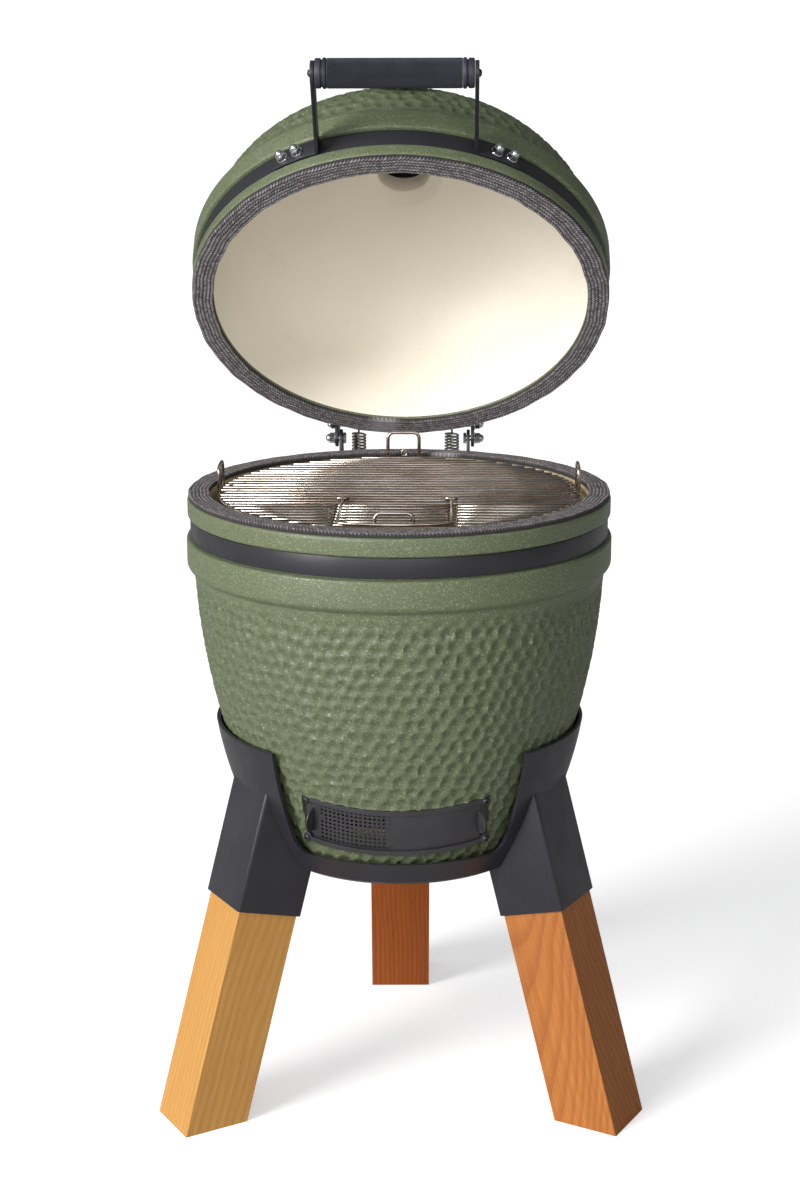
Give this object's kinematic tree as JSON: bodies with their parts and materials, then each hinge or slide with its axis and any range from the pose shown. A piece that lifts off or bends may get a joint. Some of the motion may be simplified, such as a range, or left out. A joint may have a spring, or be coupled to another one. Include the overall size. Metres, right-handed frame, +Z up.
{
  "type": "kamado grill",
  "caption": "Compact ceramic charcoal grill with a sprung hinged lid, draft slides and top vent, held in a steel cradle on splayed wooden legs.",
  "frame": {"origin": "on the floor under the middle of the overall box", "axes": "+Z up; -Y towards the front with the handle and the draft vent; +X to the right seen from the front"},
  "size_m": [0.4692, 0.4702, 0.9925],
  "materials": {
    "glaze": "speckled satin glaze",
    "fireclay": "bare fired clay",
    "black_steel": "matte powder coat",
    "cast_iron": "seasoned, slightly rough",
    "stainless": "bright drawn wire",
    "bright_fixings": "polished",
    "gasket_rope": "woven flat rope",
    "wood": "oiled, straight grain",
    "grip": "knurled",
    "rubber": "matte",
    "dial_case": "satin case with a pale dial",
    "needle_paint": "satin",
    "lens": "clear"
  },
  "bodies": {
    "base": {"cradle": "black_steel", "leg_rear": "wood", "leg_left": "wood", "leg_right": "wood", "leg_screw_rear": "bright_fixings", "leg_screw_left": "bright_fixings", "leg_screw_right": "bright_fixings", "cradle_pad_1": "rubber", "cradle_pad_2": "rubber", "cradle_pad_3": "rubber", "base_shell": "glaze", "base_gasket": "gasket_rope", "base_band": "black_steel", "base_band_bolt": "bright_fixings", "fire_bowl": "fireclay", "fire_ring": "fireclay", "charcoal_grate": "cast_iron", "vent_frame": "black_steel", "vent_screw_1": "black_steel", "vent_screw_2": "black_steel", "vent_screw_3": "black_steel", "vent_screw_4": "black_steel", "cooking_grate": "stainless", "grate_loop_rear": "stainless", "grate_loop_left": "stainless", "grate_loop_right": "stainless", "hinge_base_plate_left": "black_steel", "hinge_base_plate_right": "black_steel", "hinge_pivot_left": "bright_fixings", "hinge_pivot_right": "bright_fixings", "hinge_spring_left": "stainless", "hinge_spring_right": "stainless", "spring_rod_lower": "bright_fixings"},
    "lid": {"lid_shell": "glaze", "lid_gasket": "gasket_rope", "lid_band": "black_steel", "lid_band_bolt": "bright_fixings", "handle_grip": "grip", "hinge_lid_plate_left": "black_steel", "hinge_lid_plate_right": "black_steel", "handle_bracket_left": "black_steel", "handle_bracket_right": "black_steel", "handle_collar_left": "grip", "handle_collar_right": "grip", "spring_rod_upper": "bright_fixings", "handle_nut_1": "bright_fixings", "handle_nut_2": "bright_fixings", "handle_nut_3": "bright_fixings", "handle_nut_4": "bright_fixings", "chimney_collar": "cast_iron", "damper_pin": "bright_fixings", "thermometer_case": "dial_case", "thermometer_lens": "lens"},
    "vent_door_slide": {"vent_door": "black_steel"},
    "vent_screen_slide": {"vent_screen": "black_steel"},
    "damper_plate_swing": {"damper_plate": "cast_iron"},
    "damper_disc_turn": {"damper_disc": "cast_iron"},
    "grate_flap_leaf": {"grate_flap": "stainless", "flap_loop": "stainless"},
    "thermometer_needle_hand": {"thermometer_needle": "needle_paint"}
  },
  "joints": [
    {"name": "lid_hinge", "type": "hinge", "parent": "base", "child": "lid", "pos_m": [-0.00278, 0.18236, 0.60475], "axis": [-1, 0, 0], "range_deg": [-47.7, 0], "stiffness_Nm_per_rad": 10, "springref_deg": 68.75, "deforming": ["hinge_spring_left", "hinge_spring_right"]},
    {"name": "vent_door_track", "type": "hinge", "parent": "base", "child": "vent_door_slide", "pos_m": [-0.00278, -0.03853, 0.34331], "axis": [0, -0.2588, 0.9659], "range_deg": [-28.5, 0]},
    {"name": "vent_screen_track", "type": "hinge", "parent": "base", "child": "vent_screen_slide", "pos_m": [-0.00278, -0.03853, 0.34331], "axis": [0, -0.2588, 0.9659], "range_deg": [0, 28.5]},
    {"name": "grate_flap_hinge", "type": "hinge", "parent": "base", "child": "grate_flap_leaf", "pos_m": [-0.00278, -0.09774, 0.598], "axis": [-1, 0, 0], "range_deg": [0, 100]},
    {"name": "damper_swivel", "type": "hinge", "parent": "lid", "child": "damper_plate_swing", "pos_m": [0.04422, 0.1823, 0.89687], "axis": [0, 0.7396, 0.673], "range_deg": [0, 110]},
    {"name": "damper_turn", "type": "hinge", "parent": "damper_plate_swing", "child": "damper_disc_turn", "pos_m": [-0.00278, 0.1823, 0.89687], "axis": [0, 0.7396, 0.673], "range_deg": [-36, 0]},
    {"name": "needle_turn", "type": "hinge", "parent": "lid", "child": "thermometer_needle_hand", "pos_m": [-0.00278, 0.00686, 0.96515], "axis": [0, -0.057, 0.9984], "range_deg": [-260, 0], "stiffness_Nm_per_rad": 0.0005}
  ]
}
